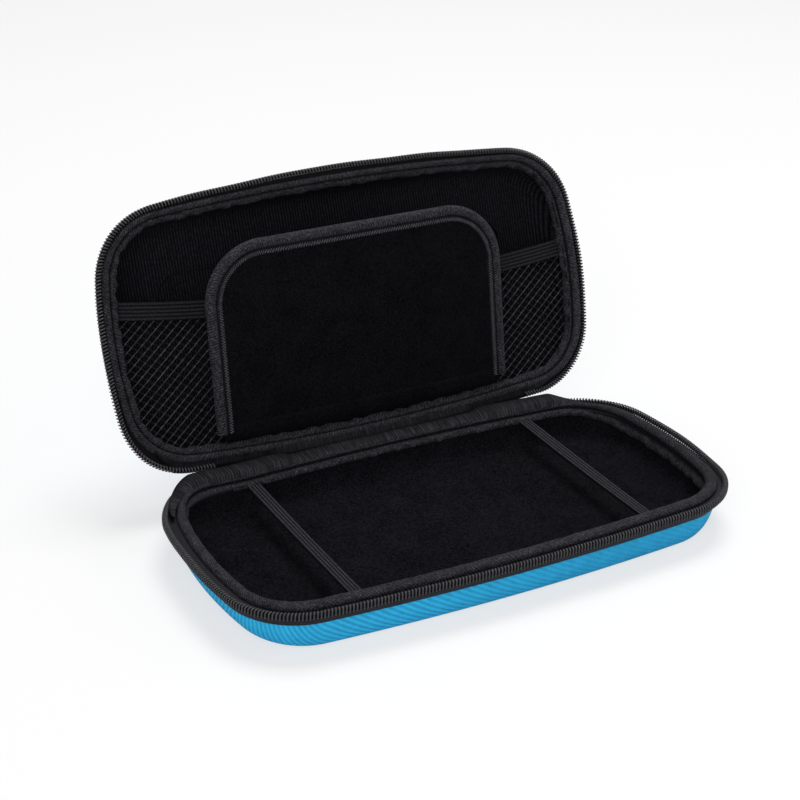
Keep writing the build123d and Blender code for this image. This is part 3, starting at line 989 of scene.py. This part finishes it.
yarn_steps = 4
run = np.arange(-160, 161) / yarn_steps
lid_up = on_lid([[0, 0, 1]])[0] - on_lid([[0, 0, 0]])[0]


def net_yarns(family, thin, knot, level):
    """Grids of one row of slanted yarns, thicker where they cross the other row."""
    yarns = []
    for line in range(-56, 57):
        x = line * net_cell_x + run * net_cell_x / 2 * family
        y = 20 + run * net_cell_y / 2
        inside = inset_at(np.stack([x, y], axis=1)) > net_edge
        inside &= y > band_edge(x, band_height - 1.2)
        if inside.sum() < 4:
            continue
        keep = np.flatnonzero(inside)
        keep = np.arange(keep[0], keep[-1] + 1)
        closeness = np.cos(pi * run[keep]) ** 2
        path = np.stack([x[keep], y[keep], zip_plane - net_depth + level + 0 * x[keep]], axis=1)
        yarns.append(tube(on_lid(path), lid_up, thin + knot * closeness**2, 6, 0.7))
    return yarns


front_yarns = net_yarns(-1, 0.17, 0.11, 0.16)
back_yarns = net_yarns(1, 0.26, 0.3, -0.12)
net_mesh = build("pocket_netting", front_yarns + back_yarns)
front_count = sum(yarn[0].shape[0] * yarn[0].shape[1] for yarn in front_yarns)
# Painted shade: the back row of yarns gets a small share of light, the front row all of it.
shade(net_mesh, np.where(np.arange(len(net_mesh.vertices)) < front_count, 1.0, back_yarn_painted_shade))
netting = piece(net_mesh, "lid", net_yarn, ["mesh_pocket"])

# Band along the net's upper edge, with a row of stitches near its lower edge
band_section = ribbed_section(band_height, band_ribs, 0.4, 0.9, 61)
band_x = np.linspace(-band_half_length, band_half_length, 150)[:, None]
band_across = band_height / 2 + band_section[:, 0]
band_y = band_edge(band_x, band_across)
band_z = zip_plane - band_depth + band_section[:, 1] + 0.12 * waves(band_x / 17, (1, 1.9, 3.1), 0.3)
band_points = np.stack([band_x + 0 * band_y, band_y, band_z + 0 * band_y], axis=-1)
band_grid = patch(on_lid(band_points), across=ribbed_across(band_section), loop_across=True)
piece(build("pocket_band_elastic", [band_grid]), "lid", band_elastic, ["pocket_band"])
dashes = []
for place in np.arange(-110, 110, band_stitch_pitch):
    x = np.linspace(place, place + band_stitch_length, 5)
    path = np.stack([x, band_edge(x, band_height - 1.75), zip_plane - 5.62 + 0 * x], axis=1)
    dashes.append(tube(on_lid(path), lid_up, [0.04, 0.17, 0.19, 0.17, 0.04], 5))
piece(build("pocket_band_stitches", dashes), "lid", dark_thread)

# Flap: a padded panel with a rolled binding on three sides


def flap_outline(margin, root, count):
    """Path round the flap's three free sides as x, distance from its hinge and inward direction."""
    half = flap_half_width - margin
    length = flap_length - margin
    radius = flap_corner_radius - margin
    straight = length - radius - root
    arc = radius * pi / 2
    top = 2 * (half - radius)
    total = 2 * straight + 2 * arc + top
    rows = []
    for s in np.linspace(0, total, count):
        if s <= straight:
            rows.append((-half, root + s, 1, 0))
            continue
        s -= straight
        if s <= arc:
            a = s / radius
            x = -half + radius - radius * cos(a)
            rows.append((x, length - radius + radius * sin(a), cos(a), -sin(a)))
            continue
        s -= arc
        if s <= top:
            rows.append((-half + radius + s, length, 0, -1))
            continue
        s -= top
        if s <= arc:
            a = s / radius
            x = half - radius + radius * sin(a)
            rows.append((x, length - radius + radius * cos(a), -sin(a), -cos(a)))
            continue
        s -= arc
        rows.append((half, length - radius - s, -1, 0))
    rows = np.array(rows)
    rows[:, 0] += flap_offset
    return rows, total


def panel_points(side):
    """One face of the padded panel, crowned a little, with a soft uneven surface."""
    half = flap_half_width - pad_margin
    length = flap_length - pad_margin
    radius = flap_corner_radius - pad_margin
    straight = np.linspace(0, length - radius, 40)
    reach = np.concatenate([straight, np.linspace(length - radius, length, 24)[1:]])
    over = np.clip(reach - (length - radius), 0, None)
    round_width = half - radius + np.sqrt(np.clip(radius**2 - over**2, 0, None))
    wide = np.where(over > 0, round_width, half)
    share = np.linspace(-1, 1, 81)[None, :]
    x = wide[:, None] * share
    edge = np.minimum(wide[:, None] - np.abs(x), (length - reach)[:, None])
    edge = np.minimum(edge, reach[:, None] * 1.5)
    swell = 1 - np.exp(-np.clip(edge, 0, None) / 2.2)
    rough = 0.1 * np.sin(x / 9 + reach[:, None] / 13)
    rough = rough + 0.07 * np.sin(x / 5.1 - reach[:, None] / 6.3 + 1)
    height = side * (0.9 + 0.95 * swell + (0.25 + rough) * swell * np.clip(edge / 25, 0, 1))
    return np.stack([flap_offset + x, reach[:, None] + 0 * x, height], axis=-1)


front = panel_points(1)
rear = panel_points(-1)
lower = np.stack([front[0], rear[0]], 1)
right = np.stack([front[:, -1], rear[:, -1]], 1)[1:]
upper = np.stack([front[-1], rear[-1]], 1)[::-1][1:]
left = np.stack([front[:, 0], rear[:, 0]], 1)[::-1][1:-1]
border = np.concatenate([lower, right, upper, left])
pad_patches = [patch(on_flap(front)), patch(on_flap(rear)), patch(on_flap(border), loop_along=True)]
panel_mesh = build("flap_pad", pad_patches, weld=True)
flap_pad = piece(panel_mesh, "flap", flap_felt, ["flap_panel"])

flap_section = [
    (7.4, 1.7),
    (6.8, 1.98),
    (5.9, 1.98),
    (5.1, 1.9),
    (4.6, 1.4),
    (4.1, 1.85),
    (3.2, 2.3),
    (2.1, 2.42),
    (1.1, 2.15),
    (0.35, 1.4),
    (0.02, 0.0),
]
flap_section += [(margin, -lift) for margin, lift in flap_section[-2::-1]]
flap_steps = 66
flap_rows, flap_path_length = flap_outline(0, flap_root, flap_around)
section = smooth_path(flap_section, flap_steps)
turn = np.linspace(0, 2 * pi, flap_around)[:, None]
margin = section[:, 0] + 0.1 * waves(turn, (33, 51, 77), 0.9) * np.clip(section[:, 0] / 3, 0, 1)
lift = section[:, 1] * (1 + 0.03 * waves(turn, (41, 63), 1.8))
edge_x = flap_rows[:, 0:1] + flap_rows[:, 2:3] * margin
edge_y = flap_rows[:, 1:2] + flap_rows[:, 3:4] * margin
grid = np.stack([edge_x, edge_y, lift], axis=-1)
flap_along = np.linspace(0, flap_path_length, flap_around)
flap_mesh = build("flap_binding_cloth", [patch(on_flap(grid), flap_along, steps_along(section))])
# Painted shade across the flap's binding: dark in the groove beside the roll, lighter on the roll; the flange
# under the zigzag is kept darker than the roll.
flap_place = np.linspace(0, 20, flap_steps)
flap_painted_shade_places = [0, 4.6, 5.4, 6.4, 7.2, 10]
flap_painted_shade = np.interp(np.abs(flap_place - 10), flap_painted_shade_places, [1.0, 0.85, 0.15, 0.1, 0.3, 0.3])
shade(flap_mesh, np.broadcast_to(flap_painted_shade, grid.shape[:2]))
flap_edge = piece(flap_mesh, "flap", flap_twill, ["flap_binding"])
thicken(flap_edge, binding_cloth)
zigzags = int(flap_path_length / zigzag_pitch)
zig_rows, _ = flap_outline(0, 3.6, zigzags * 2 + 1)
flap_up = on_flap([[0, 0, 1]])[0] - on_flap([[0, 0, 0]])[0]
stitch_lines = []
for side in (1, -1):
    inset = zigzag_inset + zigzag_reach * np.where(np.arange(len(zig_rows)) % 2, 1, -1)
    zig_x = zig_rows[:, 0] + zig_rows[:, 2] * inset
    zig_y = zig_rows[:, 1] + zig_rows[:, 3] * inset
    zig = np.stack([zig_x, zig_y, side * (zigzag_level + 0 * inset)], axis=1)
    stitch_lines.append(tube(on_flap(zig), flap_up, 0.19, 5))
zigzag = piece(build("flap_zigzag_stitches", stitch_lines), "flap", stitch_thread)

# Root cloth: joins the flap's lower edge to the lid's binding
root_margin = 7.2
root_steps = 80


def root_points():
    """Grid from the flap's face down behind the lid's lower hem."""
    half = flap_half_width - root_margin
    x = flap_offset + np.linspace(-half, half, root_steps)
    on_panel = ((6.6, 1.7), (4.6, 1.75), (2.8, 1.75), (1.2, 1.5))
    grid = [on_flap(np.stack([x, 0 * x + reach, 0 * x + rise], axis=1)) for reach, rise in on_panel]
    sag = x**2 / (2 * long_side_radius)
    for away, deep in ((13.2, 2.6), (11.8, 4.4), (10.2, 6.0)):
        share = np.clip((13.4 - away) / 2.0, 0, 1)
        grid.append(on_lid(np.stack([x, hinge_y - away - sag * share, zip_plane - deep + 0 * x], axis=1)))
    return np.stack(grid, axis=1)


root_grid = root_points()
root_cloth = piece(build("flap_root_cloth", [patch(root_grid)]), None, flap_felt)
thicken(root_cloth, 0.4)
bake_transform(root_cloth)

# Studio: pale floor, white surroundings, soft lamps and the camera

scene = bpy.context.scene
scene.view_settings.view_transform = "Standard"


def floor_material():
    """Pale floor that keeps a soft shadow and looks white to the camera."""
    material = bpy.data.materials.new("floor_pale")
    material.use_nodes = True
    tree = material.node_tree
    tree.nodes.clear()
    out = tree.nodes.new("ShaderNodeOutputMaterial")
    matte = tree.nodes.new("ShaderNodeBsdfDiffuse")
    matte.inputs["Color"].default_value = (0.9, 0.9, 0.9, 1)
    glow = tree.nodes.new("ShaderNodeEmission")
    mix = tree.nodes.new("ShaderNodeMixShader")
    path = tree.nodes.new("ShaderNodeLightPath")
    share = tree.nodes.new("ShaderNodeMath")
    share.operation = "MULTIPLY"
    share.inputs[1].default_value = 0.62
    tree.links.new(path.outputs["Is Camera Ray"], share.inputs[0])
    for place, node in enumerate((share, matte, glow)):
        tree.links.new(node.outputs[0], mix.inputs[place])
    tree.links.new(mix.outputs[0], out.inputs["Surface"])
    return material


floor_mesh = bpy.data.meshes.new("floor")
floor_size = 6.0
floor_level = -0.0004
floor_corners = [(-1, -1), (1, -1), (1, 1), (-1, 1)]
floor_points = [(x * floor_size, y * floor_size, floor_level) for x, y in floor_corners]
floor_mesh.from_pydata(floor_points, [], [(0, 1, 2, 3)])
floor = bpy.data.objects.new("floor", floor_mesh)
scene.collection.objects.link(floor)
floor_mesh.materials.append(floor_material())

world = bpy.data.worlds.new("studio")
scene.world = world
world.use_nodes = True
world_tree = world.node_tree
backdrop = world_tree.nodes["Background"]
path = world_tree.nodes.new("ShaderNodeLightPath")
seen = path.outputs["Is Camera Ray"]
for ray in ("Is Glossy Ray", "Is Transmission Ray"):
    either = world_tree.nodes.new("ShaderNodeMath")
    either.operation = "MAXIMUM"
    world_tree.links.new(seen, either.inputs[0])
    world_tree.links.new(path.outputs[ray], either.inputs[1])
    seen = either.outputs[0]
level = world_tree.nodes.new("ShaderNodeMapRange")
level.inputs["To Min"].default_value = 0.3
level.inputs["To Max"].default_value = 1.0
world_tree.links.new(seen, level.inputs["Value"])
world_tree.links.new(level.outputs[0], backdrop.inputs["Strength"])
backdrop.inputs["Color"].default_value = (1, 1, 1, 1)


def lamp(name, place, aim, size, power):
    """Square soft lamp."""
    data = bpy.data.lights.new(name, "AREA")
    data.shape = "SQUARE"
    data.size = size
    data.energy = power
    obj = bpy.data.objects.new(name, data)
    obj.location = place
    obj.rotation_euler = (Vector(aim) - Vector(place)).to_track_quat("-Z", "Y").to_euler()
    scene.collection.objects.link(obj)


aim_point = (0, 0.03, 0.05)
lamp("key", (0.35, 0.4, 1.5), aim_point, 0.8, 16.0)
lamp("fill", (-0.9, -1.1, 0.8), aim_point, 1.1, 13.0)
lamp("side", (1.2, -0.7, 0.6), aim_point, 1.0, 4.0)

# Camera: turned and raised as in the photograph
view_turn = radians(-29.2)
view_rise = radians(26.23)
view_roll = radians(1.3)
view_distance = 756.2
view_aim = (-26.4, 0.0, 71.76)
focal_pixels = 1830.0
image_pixels = 800.0
sensor = 36.0
camera_data = bpy.data.cameras.new("camera")
camera_data.sensor_width = sensor
camera_data.lens = focal_pixels / image_pixels * sensor
camera_data.clip_end = 50
camera = bpy.data.objects.new("camera", camera_data)
scene.collection.objects.link(camera)
level_part = cos(view_rise)
back_direction = Vector((sin(view_turn) * level_part, -cos(view_turn) * level_part, sin(view_rise)))
camera.location = Vector(view_aim) * MM + back_direction * view_distance * MM
turned = back_direction.to_track_quat("Z", "Y").to_matrix().to_4x4() @ Matrix.Rotation(view_roll, 4, "Z")
camera.rotation_euler = turned.to_euler()
scene.camera = camera
